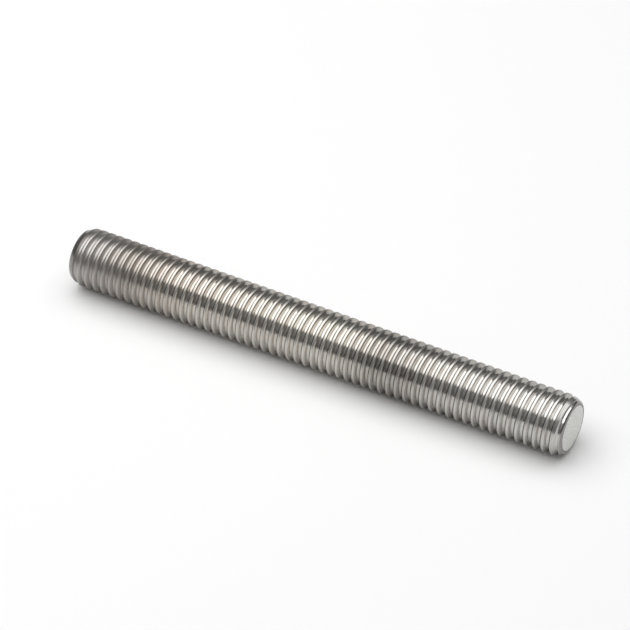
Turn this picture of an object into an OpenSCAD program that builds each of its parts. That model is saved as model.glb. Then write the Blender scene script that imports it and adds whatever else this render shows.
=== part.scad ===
// Threaded rod (stud): one straight steel bar with a rolled metric thread along its
// whole length and a small bevel round each end face. Millimetres.
// The rod lies along X with its middle over the origin, on the surface Z = 0.

/* [Rod] */
// Length from one end face to the other
rod_len = 89; // [20:1:160]

/* [Thread] */
// Outside diameter over the crests: nominal 10 mm, less its tolerance
major_d = 9.85; // [7:0.05:16]
// Pitch, the advance of one turn
pitch = 1.5; // [1:0.05:2]
// Depth of the thread, as a share of the pitch: 0.61 on the full metric profile
depth_share = 0.4; // [0.3:0.01:0.6]
// Width of the flat crest, as a share of the pitch
crest_share = 0.24; // [0.1:0.01:0.3]
// Hand of the thread
hand = "left"; // [left, right]
// Distance along the top from the +X end face back to the middle of the last crest
last_crest = 1.05; // [0:0.05:2]

/* [Ends] */
// How far the end bevel cuts in from the crests
bevel_depth = 0.7; // [0.2:0.02:1.5]
// Angle between the bevel and the rod's axis
bevel_angle = 25; // [20:1:60]

/* [Hidden] */

steel = [0.62, 0.61, 0.59];
face_r = major_d / 2 - bevel_depth;

// The profile of the metric thread, rolled a little short of its full depth
flank_angle = 60;
crest_w = crest_share * pitch;
thread_h = depth_share * pitch;
flank_w = thread_h * tan(flank_angle / 2);
root_w = pitch - crest_w - 2 * flank_w;
crest_r = major_d / 2;
root_r = crest_r - thread_h;

// How far the thread runs on past each end face, where the blank trims it
overrun = 0.1;
blank_r = crest_r + 1;

// The helix is faceted. The steps in a turn are a multiple of four, so that a flat lies
// at the bottom, at the top and at both sides, and a longer rod takes fewer of them.
facet_budget = 12000;
facets_per_step = 8;
turns = rod_len / pitch + 2;
steps = 4 * floor(facet_budget / turns / facets_per_step / 4);
// Corners stand out by this factor, so that the flats lie at the true radius
corner_out = 1 / cos(180 / steps);

// Corners of one pitch of the profile: [distance from the middle of the crest, radius]
profile = [
    [-crest_w / 2, crest_r],
    [crest_w / 2, crest_r],
    [crest_w / 2 + flank_w, root_r],
    [crest_w / 2 + flank_w + root_w, root_r]
];
corners = len(profile);

// Steps are counted from the last crest at the top of the rod
crest_x = rod_len / 2 - last_crest;
from_x = -rod_len / 2 - overrun;
to_x = rod_len / 2 + overrun;
first = floor((from_x - crest_x - profile[0].x) * steps / pitch) - steps - 1;
last = ceil((to_x - crest_x - profile[corners - 1].x) * steps / pitch) + steps;

// Corner k of the profile at step i
function corner(i, k) =
    let (turn = (i + 0.5) / steps, angle = 90 + 360 * turn, r = profile[k].y * corner_out)
    [crest_x + pitch * turn + profile[k].x, r * cos(angle), r * sin(angle)];

// Index of that corner. Past the last corner comes the first one of the next turn.
function at(i, k) = k < corners ? (i - first) * corners + k : (i + steps - first) * corners;

// One thread of the helix, closed by a fan from the axis at each end
module helix() {
    count = (last - first + 1) * corners;
    strips = [
        for (i = [first : last - 1], k = [0 : corners - 1])
            if (k < corners - 1 || i + 1 + steps <= last)
                [at(i, k), at(i, k + 1), at(i + 1, k + 1), at(i + 1, k)]
    ];
    first_edge = concat(
        [for (i = [first : first + steps]) at(i, 0)],
        [for (k = [corners - 1 : -1 : 1]) at(first, k)]
    );
    last_edge = concat(
        [for (i = [last - steps : last]) at(i, corners - 1)],
        [for (k = [corners - 2 : -1 : 0]) at(last, k)]
    );
    polyhedron(
        points = concat(
            [for (i = [first : last], k = [0 : corners - 1]) corner(i, k)],
            [[corner(first, 0).x, 0, 0], [corner(last, corners - 1).x, 0, 0]]
        ),
        faces = concat(
            strips,
            [for (n = [0 : len(first_edge) - 1])
                [count, first_edge[n], first_edge[(n + 1) % len(first_edge)]]],
            [for (n = [0 : len(last_edge) - 1])
                [count + 1, last_edge[(n + 1) % len(last_edge)], last_edge[n]]]
        ),
        convexity = 10
    );
}

// The bar as cut to length, with its bevelled ends, wider than the thread
module blank() {
    bevel_len = (blank_r - face_r) / tan(bevel_angle);
    rotate([0, 90, 0])
        rotate_extrude($fn = 96)
            polygon([
                [0, -rod_len / 2],
                [face_r, -rod_len / 2],
                [blank_r, -rod_len / 2 + bevel_len],
                [blank_r, rod_len / 2 - bevel_len],
                [face_r, rod_len / 2],
                [0, rod_len / 2]
            ]);
}

module threaded_rod() {
    color(steel)
        translate([0, 0, crest_r])
            mirror([0, hand == "left" ? 1 : 0, 0])
                intersection() {
                    helix();
                    blank();
                }
}

threaded_rod();
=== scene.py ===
"""A threaded rod: one straight steel bar with a left-hand metric thread, lying on a pale floor."""
import math

import bmesh
import bpy
from mathutils import Matrix, Vector

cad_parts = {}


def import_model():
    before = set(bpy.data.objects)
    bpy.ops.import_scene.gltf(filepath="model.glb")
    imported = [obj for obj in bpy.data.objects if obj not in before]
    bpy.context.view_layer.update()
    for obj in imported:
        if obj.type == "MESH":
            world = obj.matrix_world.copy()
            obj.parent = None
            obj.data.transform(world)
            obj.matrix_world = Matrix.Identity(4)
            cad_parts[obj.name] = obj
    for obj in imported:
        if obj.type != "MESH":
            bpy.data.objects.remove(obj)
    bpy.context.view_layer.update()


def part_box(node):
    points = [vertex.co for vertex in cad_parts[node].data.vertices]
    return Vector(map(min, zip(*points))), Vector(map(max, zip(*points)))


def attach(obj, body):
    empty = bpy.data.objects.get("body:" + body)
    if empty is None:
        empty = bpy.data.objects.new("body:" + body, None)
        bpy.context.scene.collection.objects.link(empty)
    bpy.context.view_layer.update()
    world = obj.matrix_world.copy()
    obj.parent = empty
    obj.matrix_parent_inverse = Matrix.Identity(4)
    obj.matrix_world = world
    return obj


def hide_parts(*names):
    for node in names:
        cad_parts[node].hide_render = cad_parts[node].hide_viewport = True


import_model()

MM = 0.001

# ---------------------------------------------------------------- sizes

ROD_LOW, ROD_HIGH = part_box("threaded_rod")
ROD_LENGTH = ROD_HIGH.x - ROD_LOW.x
CREST_R = (ROD_HIGH.z - ROD_LOW.z) / 2
# Halfway along the rod's axis. The near end is towards +X, the far end towards -X.
MIDDLE = Vector((
    (ROD_LOW.x + ROD_HIGH.x) / 2,
    (ROD_LOW.y + ROD_HIGH.y) / 2,
    ROD_LOW.z + CREST_R,
))

# The thread, as on the solid: a metric profile, left-hand
PITCH = 1.5 * MM
THREAD_DEPTH = 0.4 * PITCH
CREST_WIDTH = 0.24 * PITCH
THREAD_ANGLE = math.radians(60)
FLANK_WIDTH = THREAD_DEPTH * math.tan(THREAD_ANGLE / 2)
ROOT_R = CREST_R - THREAD_DEPTH
# From the near end face back to the middle of the last crest, along the top
LAST_CREST = 1.05 * MM
TURN_STEPS = 80
# Turns that the helix has beyond the rod's length, trimmed at the end faces
SPARE_TURNS = 3

# Rounding that the rolling dies leave
CREST_ROUNDING = 0.05 * MM
CREST_SEGMENTS = 2
ROOT_ROUNDING = 0.1 * MM
ROOT_SEGMENTS = 3

# The ends
BEVEL_DEPTH = 0.7 * MM
BEVEL_SLOPE = math.radians(25)
FACE_R = CREST_R - BEVEL_DEPTH
RIM_ROUNDING = 0.3 * MM
RIM_SEGMENTS = 4
END_STEPS = 160
# How far the bar that trims the thread stands out over its crests
BAR_MARGIN = 1 * MM

# Points closer together than this are one point
WELD = 0.0005 * MM
# Faces that meet at more than this angle keep a sharp edge
SHARP_ANGLE = math.radians(42)

# The rod's finishes, in the order of its slots
THREAD, CUT_FACE, BEVEL, RIM = range(4)
# A face whose normal lies along the rod by more than this is square to it
SQUARE_NORMAL = 0.99
# How far a face may lie from the bevel, and its normal from the bevel's, and still be part of it
BEVEL_SLACK = 0.02 * MM
BEVEL_NORMAL_SLACK = 0.1

# The camera looks down on the rod from in front, a little round towards its near end
CAMERA_AZIMUTH = math.radians(28.98)
CAMERA_ELEVATION = math.radians(39.37)
CAMERA_DISTANCE = 517 * MM
CAMERA_LEFT = 0.73 * MM
CAMERA_UP = 3.74 * MM
LENS = 185.8
SENSOR_WIDTH = 36

# The studio, in metres
FLOOR_HALF_WIDTH = 2.0
SOFTBOX_HEIGHT = 0.5

# ---------------------------------------------------------------- mesh helpers


def wire(bm, points):
    """An open outline in the XZ plane through the points (x, radius)."""
    verts = [bm.verts.new((x, 0, radius)) for x, radius in points]
    for start, end in zip(verts, verts[1:]):
        bm.edges.new((start, end))
    return verts


def round_corners(bm, verts, offset, segments):
    """Rounds corners of a wire outline, from offset before each corner to offset after it."""
    bmesh.ops.bevel(
        bm,
        geom=verts,
        offset=offset,
        offset_type="OFFSET",
        segments=segments,
        profile=0.5,
        affect="VERTICES",
        material=-1,
    )


def verts_in(geometry):
    return [item for item in geometry if isinstance(item, bmesh.types.BMVert)]


def mesh_object(bm, name):
    mesh = bpy.data.meshes.new(name)
    bm.to_mesh(mesh)
    bm.free()
    piece = bpy.data.objects.new(name, mesh)
    bpy.context.scene.collection.objects.link(piece)
    return piece


# ---------------------------------------------------------------- the rod


def thread_helix():
    """One thread round the X axis, a little longer than the rod at both ends."""
    turns = math.ceil(ROD_LENGTH / PITCH) + SPARE_TURNS
    start_x = ROD_LENGTH / 2 - LAST_CREST - (turns - 1) * PITCH
    crest_end = start_x + CREST_WIDTH / 2
    next_crest = start_x + PITCH - CREST_WIDTH / 2
    bm = bmesh.new()
    outline = wire(bm, [
        (start_x, CREST_R),
        (crest_end, CREST_R),
        (crest_end + FLANK_WIDTH, ROOT_R),
        (next_crest - FLANK_WIDTH, ROOT_R),
        (next_crest, CREST_R),
        (start_x + PITCH, CREST_R),
    ])
    round_corners(bm, outline[2:4], ROOT_ROUNDING, ROOT_SEGMENTS)
    round_corners(bm, [outline[1], outline[4]], CREST_ROUNDING, CREST_SEGMENTS)
    bmesh.ops.spin(
        bm,
        geom=bm.verts[:] + bm.edges[:],
        cent=(0, 0, 0),
        axis=(1, 0, 0),
        dvec=(PITCH / TURN_STEPS, 0, 0),
        angle=-2 * math.pi,
        steps=TURN_STEPS,
    )
    one_turn = bm.verts[:] + bm.edges[:] + bm.faces[:]
    for turn in range(1, turns):
        copied = bmesh.ops.duplicate(bm, geom=one_turn)["geom"]
        bmesh.ops.translate(bm, verts=verts_in(copied), vec=(turn * PITCH, 0, 0))
    bmesh.ops.remove_doubles(bm, verts=bm.verts[:], dist=WELD)
    close_ends(bm)
    bmesh.ops.recalc_face_normals(bm, faces=bm.faces[:])
    return mesh_object(bm, "thread_helix")


def close_ends(bm):
    """Closes each open end of the helix with a fan of faces to one point."""
    open_edges = [edge for edge in bm.edges if edge.is_boundary]
    for side in (-1, 1):
        end_edges = [edge for edge in open_edges if side * edge.verts[0].co.x > 0]
        fan = bmesh.ops.extrude_edge_only(bm, edges=end_edges)["geom"]
        tips = verts_in(fan)
        tip_x = sum(vert.co.x for vert in tips) / len(tips)
        bmesh.ops.pointmerge(bm, verts=tips, merge_co=(tip_x, 0, 0))


def bevelled_bar():
    """The bar as cut to length and bevelled, wider than the thread in between."""
    bar_r = CREST_R + BAR_MARGIN
    bevel_length = (bar_r - FACE_R) / math.tan(BEVEL_SLOPE)
    bm = bmesh.new()
    outline = wire(bm, [
        (-ROD_LENGTH / 2, 0),
        (-ROD_LENGTH / 2, FACE_R),
        (-ROD_LENGTH / 2 + bevel_length, bar_r),
        (ROD_LENGTH / 2 - bevel_length, bar_r),
        (ROD_LENGTH / 2, FACE_R),
        (ROD_LENGTH / 2, 0),
    ])
    round_corners(bm, [outline[1], outline[4]], RIM_ROUNDING, RIM_SEGMENTS)
    bmesh.ops.spin(
        bm,
        geom=bm.verts[:] + bm.edges[:],
        cent=(0, 0, 0),
        axis=(1, 0, 0),
        angle=2 * math.pi,
        steps=END_STEPS,
        use_merge=True,
    )
    bmesh.ops.remove_doubles(bm, verts=bm.verts[:], dist=WELD)
    bmesh.ops.recalc_face_normals(bm, faces=bm.faces[:])
    return mesh_object(bm, "bevelled_bar")


def threaded_rod():
    """The thread trimmed by the bevelled bar, set in its place on the floor."""
    rod = thread_helix()
    bar = bevelled_bar()
    trim = rod.modifiers.new("trim", "BOOLEAN")
    trim.operation = "INTERSECT"
    trim.solver = "MANIFOLD"
    trim.object = bar
    depsgraph = bpy.context.evaluated_depsgraph_get()
    trimmed = bpy.data.meshes.new_from_object(rod.evaluated_get(depsgraph))
    rod.modifiers.clear()
    rod.data = trimmed
    bpy.data.objects.remove(bar)
    rod.name = "rod"
    trimmed.name = "rod"
    trimmed.transform(Matrix.Translation(MIDDLE))
    # The trim leaves an empty finish slot behind
    trimmed.materials.clear()
    return rod


def finish_slot(face):
    """The finish of a face: the thread's, unless it lies on an end face, its rim or its bevel."""
    centre = face.calc_center_median() - MIDDLE
    from_end = ROD_LENGTH / 2 - abs(centre.x)
    radius = math.hypot(centre.y, centre.z)
    if abs(face.normal.x) > SQUARE_NORMAL:
        return CUT_FACE
    if from_end < RIM_ROUNDING and radius > FACE_R - RIM_ROUNDING:
        return RIM
    bevel_r = FACE_R + from_end * math.tan(BEVEL_SLOPE)
    leans = abs(abs(face.normal.x) - math.sin(BEVEL_SLOPE)) < BEVEL_NORMAL_SLACK
    if leans and abs(radius - bevel_r) < BEVEL_SLACK:
        return BEVEL
    return THREAD


def mark_finishes(rod):
    """Gives each face its finish, and keeps the edges where the thread meets the ends sharp."""
    rod.data.set_sharp_from_angle(angle=SHARP_ANGLE)
    bm = bmesh.new()
    bm.from_mesh(rod.data)
    for face in bm.faces:
        face.material_index = finish_slot(face)
        face.smooth = face.material_index != CUT_FACE
    for edge in bm.edges:
        if len({face.material_index == THREAD for face in edge.link_faces}) > 1:
            edge.smooth = False
    bm.to_mesh(rod.data)
    bm.free()
    weighted = rod.modifiers.new("flank shading", "WEIGHTED_NORMAL")
    weighted.keep_sharp = True
    weighted.mode = "FACE_AREA"


# ---------------------------------------------------------------- material helpers


def grey(level):
    return (level, level, level, 1)


class Nodes:
    """A material's node tree, with short calls for the nodes used here."""

    def __init__(self, name):
        self.material = bpy.data.materials.new(name)
        self.material.use_nodes = True
        self.tree = self.material.node_tree
        self.shader = self.tree.nodes["Principled BSDF"]

    def add(self, kind, **settings):
        node = self.tree.nodes.new(kind)
        for key, value in settings.items():
            setattr(node, key, value)
        return node

    def link(self, source, target):
        """Feeds a socket from another one, or sets it to a plain value."""
        if isinstance(source, bpy.types.NodeSocket):
            self.tree.links.new(source, target)
        else:
            target.default_value = source

    def math(self, operation, first, second=0.0, clamp=False):
        node = self.add("ShaderNodeMath", operation=operation, use_clamp=clamp)
        self.link(first, node.inputs[0])
        self.link(second, node.inputs[1])
        return node.outputs[0]

    def place(self):
        """Object coordinates in millimetres, measured from the middle of the rod."""
        coordinates = self.add("ShaderNodeTexCoord")
        mapping = self.add("ShaderNodeMapping", vector_type="POINT")
        mapping.inputs["Scale"].default_value = (1 / MM,) * 3
        mapping.inputs["Location"].default_value = -MIDDLE / MM
        self.link(coordinates.outputs["Object"], mapping.inputs["Vector"])
        return mapping.outputs[0]

    def split(self, vector):
        node = self.add("ShaderNodeSeparateXYZ")
        self.link(vector, node.inputs[0])
        return node.outputs

    def join(self, x, y, z):
        node = self.add("ShaderNodeCombineXYZ")
        for value, socket in zip((x, y, z), node.inputs):
            self.link(value, socket)
        return node.outputs[0]

    def radius(self, y, z):
        """Distance from the rod's axis, in millimetres."""
        squares = self.math("ADD", self.math("MULTIPLY", y, y), self.math("MULTIPLY", z, z))
        return self.math("SQRT", squares)

    def noise(self, vector, scale, detail, roughness):
        node = self.add("ShaderNodeTexNoise", noise_dimensions="3D")
        self.link(vector, node.inputs["Vector"])
        node.inputs["Scale"].default_value = scale
        node.inputs["Detail"].default_value = detail
        node.inputs["Roughness"].default_value = roughness
        return node.outputs["Fac"]

    def ramp(self, value, stops):
        """A colour ramp; stops are (position, colour) or (position, grey level)."""
        node = self.add("ShaderNodeValToRGB")
        elements = node.color_ramp.elements
        while len(elements) < len(stops):
            elements.new(0.5)
        for element, (position, colour) in zip(elements, stops):
            element.position = position
            element.color = (*colour, 1) if isinstance(colour, tuple) else grey(colour)
        self.link(value, node.inputs["Fac"])
        return node.outputs["Color"]

    def mix(self, factor, first, second, blend="MIX"):
        """Mixes two colours; the node's colour sockets share their names with its others."""
        node = self.add("ShaderNodeMix", data_type="RGBA", blend_type=blend)
        self.link(factor, node.inputs["Factor"])
        self.link(first, node.inputs[6])
        self.link(second, node.inputs[7])
        return node.outputs[2]

    def multiply(self, first, second):
        """One colour times another."""
        return self.mix(1.0, first, second, "MULTIPLY")

    def bump(self, height, strength, distance):
        node = self.add("ShaderNodeBump")
        node.inputs["Strength"].default_value = strength
        node.inputs["Distance"].default_value = distance
        self.link(height, node.inputs["Height"])
        self.link(node.outputs["Normal"], self.shader.inputs["Normal"])


# ---------------------------------------------------------------- finishes


def thread_finish():
    """Rolled steel: warm and dull at the far end, bright at the near end, worn on the crests, with
    a painted highlight on the flanks that face the far end.
    """
    nodes = Nodes("rolled_thread_steel")
    shader = nodes.shader
    place = nodes.place()
    x, y, z = nodes.split(place)

    # Depth in the thread: 0 at the crests, 1 at the roots
    below_crest = nodes.math("SUBTRACT", CREST_R / MM, nodes.radius(y, z))
    depth = nodes.math("DIVIDE", below_crest, THREAD_DEPTH / MM, clamp=True)

    # Position across the profile: 0 at the middle of a crest, 1 at the next
    angle = nodes.math("DIVIDE", nodes.math("ARCTAN2", y, z), 2 * math.pi)
    crest_x = (ROD_LENGTH / 2 - LAST_CREST) / MM
    turns = nodes.math("DIVIDE", nodes.math("SUBTRACT", x, crest_x), PITCH / MM)
    across = nodes.math("FRACT", nodes.math("SUBTRACT", turns, angle))

    # Position along the rod: 0 at the far end, 1 at the near end, uneven by a few millimetres
    drift_width = 12
    patches = nodes.noise(place, scale=0.11, detail=3, roughness=0.55)
    drift = nodes.math("MULTIPLY", nodes.math("SUBTRACT", patches, 0.5), drift_width)
    from_far_end = nodes.math("ADD", nodes.math("ADD", x, drift), ROD_LENGTH / 2 / MM)
    along = nodes.math("DIVIDE", from_far_end, ROD_LENGTH / MM)

    # Fine lines that follow the helix, and change slowly along the rod
    lines_per_turn = 9
    changes_per_mm = 0.9
    line_across = nodes.math("MULTIPLY", across, lines_per_turn)
    line_along = nodes.math("MULTIPLY", x, changes_per_mm)
    lines = nodes.noise(nodes.join(line_across, line_along, 0), scale=1.0, detail=3, roughness=0.6)

    tint = nodes.ramp(along, [
        (0.0, (0.45, 0.44, 0.425)),
        (0.13, (0.40, 0.375, 0.345)),
        (0.21, (0.50, 0.468, 0.428)),
        (0.33, (0.54, 0.516, 0.478)),
        (0.56, (0.557, 0.54, 0.50)),
        (0.66, (0.40, 0.385, 0.359)),
        (0.76, (0.525, 0.511, 0.486)),
        (1.0, (0.57, 0.564, 0.545)),
    ])
    stains = nodes.noise(place, scale=0.6, detail=4, roughness=0.6)
    blush = nodes.ramp(stains, [(0.35, (0.95, 0.915, 0.905)), (0.65, (1.0, 1.01, 1.01))])
    tint = nodes.multiply(tint, blush)
    # The crests are rubbed brighter
    crest_shine = grey(1.1)
    on_crest = nodes.ramp(depth, [(0.03, 1.0), (0.16, 0.0)])
    colour = nodes.mix(on_crest, tint, nodes.multiply(tint, crest_shine))
    # Painted highlight: the flanks that face the far end are made brighter, to fill the gap
    # between the highlights on crest and root
    painted_highlight_gain = grey(1.28)
    painted_highlight_flanks = nodes.ramp(across, [(0.62, 0.0), (0.7, 1.0), (0.84, 1.0), (0.9, 0.0)])
    colour = nodes.mix(painted_highlight_flanks, colour, nodes.multiply(colour, painted_highlight_gain))
    streaks = nodes.ramp(lines, [(0.3, 0.82), (0.7, 1.02)])
    nodes.link(nodes.multiply(colour, streaks), shader.inputs["Base Color"])

    # Smooth flanks and roots, worn crests, and a dull far end
    smooth = nodes.ramp(lines, [(0.3, 0.24), (0.7, 0.14)])
    worn = nodes.ramp(lines, [(0.3, 0.36), (0.7, 0.28)])
    dull = grey(0.38)
    dulled = nodes.ramp(along, [(0.1, 1.0), (0.24, 0.0)])
    roughness = nodes.mix(dulled, nodes.mix(on_crest, smooth, worn), dull)
    nodes.link(roughness, shader.inputs["Roughness"])
    shader.inputs["Metallic"].default_value = 1.0
    # Steel reflects a little less at a grazing angle; this dims it further, as painted shade that
    # darkens the rod along its outline
    shader.inputs["Specular Tint"].default_value = (0.7, 0.69, 0.68, 1)
    nodes.bump(lines, strength=0.15, distance=0.02 * MM)
    return nodes.material


def cut_finish():
    """A sawn and faced end: matte, with fine marks across it, and a ring of painted shade
    darkening its edge.
    """
    nodes = Nodes("cut_steel_face")
    shader = nodes.shader
    _, y, z = nodes.split(nodes.place())
    face_edge = (FACE_R - RIM_ROUNDING) / MM
    from_edge = nodes.math("SUBTRACT", face_edge, nodes.radius(y, z), clamp=True)
    # Painted shade: the face is darkened in a ring along its edge, standing in for the dark
    # reflection at its rim
    painted_edge_shade = nodes.ramp(from_edge, [(0.08, 0.25), (0.3, 1.0)])
    # The marks are longer from side to side than they are high
    marks_per_mm_across, marks_per_mm_up = 2, 5
    mark_y = nodes.math("MULTIPLY", y, marks_per_mm_across)
    mark_z = nodes.math("MULTIPLY", z, marks_per_mm_up)
    marks = nodes.noise(nodes.join(0, mark_y, mark_z), scale=1.0, detail=4, roughness=0.7)
    colour = nodes.ramp(marks, [(0.32, (0.58, 0.58, 0.56)), (0.68, (0.88, 0.88, 0.86))])
    nodes.link(nodes.multiply(colour, painted_edge_shade), shader.inputs["Base Color"])
    shader.inputs["Metallic"].default_value = 1.0
    shader.inputs["Roughness"].default_value = 0.6
    nodes.bump(marks, strength=0.2, distance=0.03 * MM)
    return nodes.material


def turned_finish(name, far_colour, near_colour, roughness):
    """Bare steel as the cutting tool leaves it on a bevel or a rim, with fine rings."""
    nodes = Nodes(name)
    shader = nodes.shader
    x, _, z = nodes.split(nodes.place())
    # The rings are close together along the rod, and change little round it
    rings_per_mm, changes_per_mm = 5, 0.2
    ring_x = nodes.math("MULTIPLY", x, rings_per_mm)
    ring_z = nodes.math("MULTIPLY", z, changes_per_mm)
    rings = nodes.noise(nodes.join(ring_x, ring_z, 0), scale=1.0, detail=2, roughness=0.6)
    along = nodes.math("ADD", nodes.math("DIVIDE", x, ROD_LENGTH / MM), 0.5)
    tint = nodes.ramp(along, [(0.0, far_colour), (1.0, near_colour)])
    shade = nodes.ramp(rings, [(0.35, 0.7), (0.6, 1.0)])
    nodes.link(nodes.multiply(tint, shade), shader.inputs["Base Color"])
    shader.inputs["Metallic"].default_value = 1.0
    shader.inputs["Roughness"].default_value = roughness
    return nodes.material


def bevel_finish():
    return turned_finish(
        "turned_bevel_steel",
        far_colour=(0.32, 0.31, 0.3),
        near_colour=(0.56, 0.55, 0.53),
        roughness=0.25,
    )


def rim_finish():
    # Painted shade: the rim's colours are darkened to stand in for the shade it reflects
    return turned_finish(
        "rim_steel_painted_dark",
        far_colour=(0.2, 0.19, 0.185),
        near_colour=(0.32, 0.31, 0.3),
        roughness=0.2,
    )


def floor_finish():
    nodes = Nodes("pale_floor")
    nodes.shader.inputs["Base Color"].default_value = grey(0.9)
    nodes.shader.inputs["Roughness"].default_value = 0.9
    nodes.shader.inputs["Specular IOR Level"].default_value = 0.1
    return nodes.material


# ---------------------------------------------------------------- floor, light and camera


def floor():
    bm = bmesh.new()
    bmesh.ops.create_grid(bm, x_segments=1, y_segments=1, size=FLOOR_HALF_WIDTH)
    plane = mesh_object(bm, "floor")
    plane.data.materials.append(floor_finish())
    return plane


def softbox(name, x, y, width, depth, power):
    """A lamp over the floor that faces straight down, in metres and watts."""
    light = bpy.data.lights.new(name, "AREA")
    light.shape = "RECTANGLE"
    light.size = width
    light.size_y = depth
    light.energy = power
    lamp = bpy.data.objects.new(name, light)
    bpy.context.scene.collection.objects.link(lamp)
    lamp.location = (x, y, SOFTBOX_HEIGHT)


def world():
    """A dim studio: darkest at the horizon, paler towards the ceiling."""
    room = bpy.data.worlds.new("room")
    bpy.context.scene.world = room
    room.use_nodes = True
    tree = room.node_tree
    direction = tree.nodes.new("ShaderNodeTexCoord")
    height = tree.nodes.new("ShaderNodeSeparateXYZ")
    wall = tree.nodes.new("ShaderNodeValToRGB")
    horizon, ceiling = wall.color_ramp.elements
    horizon.position = 0.0
    horizon.color = grey(0.09)
    ceiling.position = 0.45
    ceiling.color = grey(0.3)
    tree.links.new(direction.outputs["Generated"], height.inputs[0])
    tree.links.new(height.outputs["Z"], wall.inputs["Fac"])
    tree.links.new(wall.outputs["Color"], tree.nodes["Background"].inputs["Color"])


def camera():
    """Looks past the middle of the rod, along a line a little to the left of it and above it."""
    back = Vector((
        math.sin(CAMERA_AZIMUTH) * math.cos(CAMERA_ELEVATION),
        -math.cos(CAMERA_AZIMUTH) * math.cos(CAMERA_ELEVATION),
        math.sin(CAMERA_ELEVATION),
    ))
    right = Vector((math.cos(CAMERA_AZIMUTH), math.sin(CAMERA_AZIMUTH), 0))
    up = back.cross(right)
    data = bpy.data.cameras.new("camera")
    data.sensor_width = SENSOR_WIDTH
    data.lens = LENS
    view = bpy.data.objects.new("camera", data)
    bpy.context.scene.collection.objects.link(view)
    view.location = MIDDLE + back * CAMERA_DISTANCE - right * CAMERA_LEFT + up * CAMERA_UP
    view.rotation_euler = (-back).to_track_quat("-Z", "Y").to_euler()
    bpy.context.scene.camera = view


# ---------------------------------------------------------------- put together

rod = threaded_rod()
mark_finishes(rod)
for finish in (thread_finish(), cut_finish(), bevel_finish(), rim_finish()):
    rod.data.materials.append(finish)
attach(rod, "root")
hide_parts("threaded_rod")

floor()
softbox("overhead_softbox", x=-0.26, y=-0.04, width=0.5, depth=0.76, power=2.62)
softbox("side_softbox", x=0.2, y=0.075, width=0.4, depth=0.85, power=1.42)
world()
camera()
bpy.context.scene.view_settings.view_transform = "Standard"
